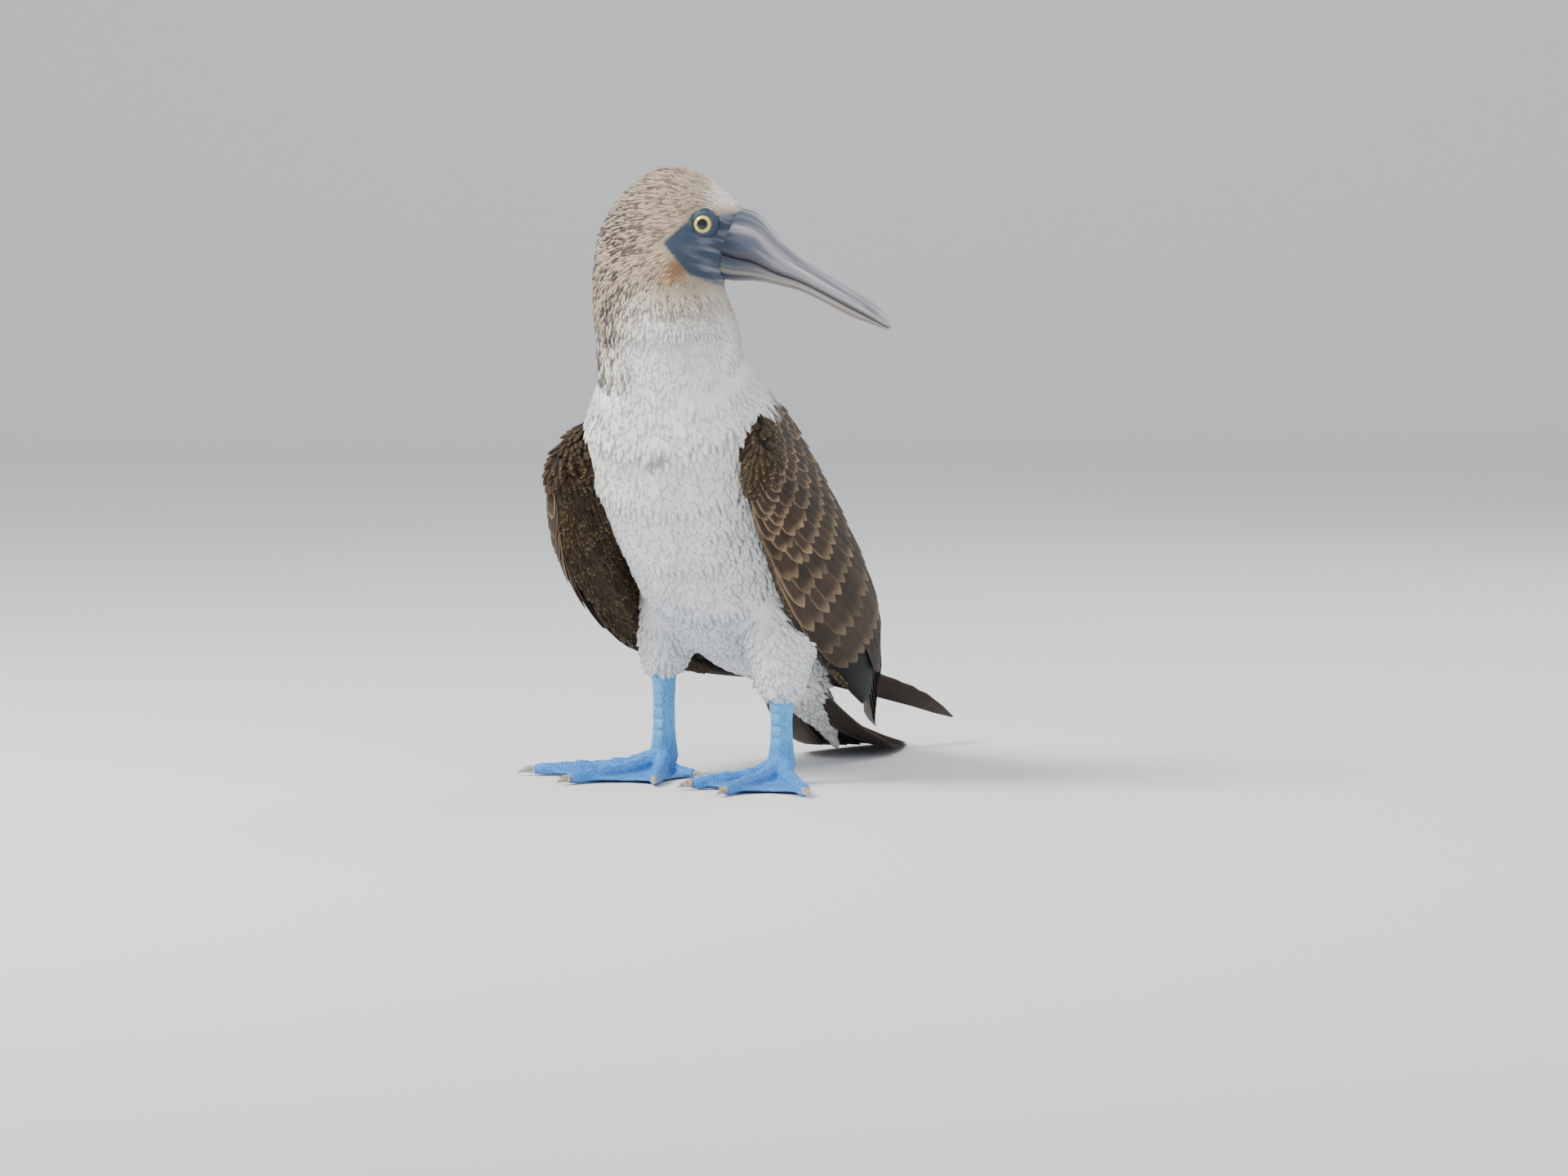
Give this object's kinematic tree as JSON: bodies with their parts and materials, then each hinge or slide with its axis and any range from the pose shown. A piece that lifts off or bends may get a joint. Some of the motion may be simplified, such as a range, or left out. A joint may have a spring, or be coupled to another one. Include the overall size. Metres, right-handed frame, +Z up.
{
  "type": "still life-size model of a blue footed booby",
  "caption": "Standing seabird with its head turned to its left, wings folded with crossed tips, and blue webbed feet flat on the floor.",
  "frame": {"origin": "on the floor, under the middle of the whole bird's box", "axes": "+Z up; the bird faces -Y; its left side is +X"},
  "size_m": [0.2644, 0.4182, 0.383],
  "materials": {
    "white_feathers": "soft white body feathers",
    "buff_feathers": "buff feathers with fine dark streaks",
    "brown_feathers": "dark brown flight feathers",
    "bill": "grey lavender horn, satin",
    "blue_skin": "bright blue scaled skin",
    "eye": "yellow iris, glossy",
    "claw": "pale horn"
  },
  "bodies": {
    "root": {"torso": "white_feathers", "neck": "buff_feathers", "head": "buff_feathers", "bill_upper": "bill", "bill_lower": "bill", "tail": "brown_feathers", "thigh_right": "white_feathers", "tarsus_right": "blue_skin", "foot_right": "blue_skin", "eye_right": "eye", "wing_right": "brown_feathers", "claw_right_hallux": "claw", "claw_right_inner": "claw", "claw_right_middle": "claw", "claw_right_outer": "claw", "thigh_left": "white_feathers", "tarsus_left": "blue_skin", "foot_left": "blue_skin", "eye_left": "eye", "wing_left": "brown_feathers", "claw_left_hallux": "claw", "claw_left_inner": "claw", "claw_left_middle": "claw", "claw_left_outer": "claw"}
  },
  "joints": []
}
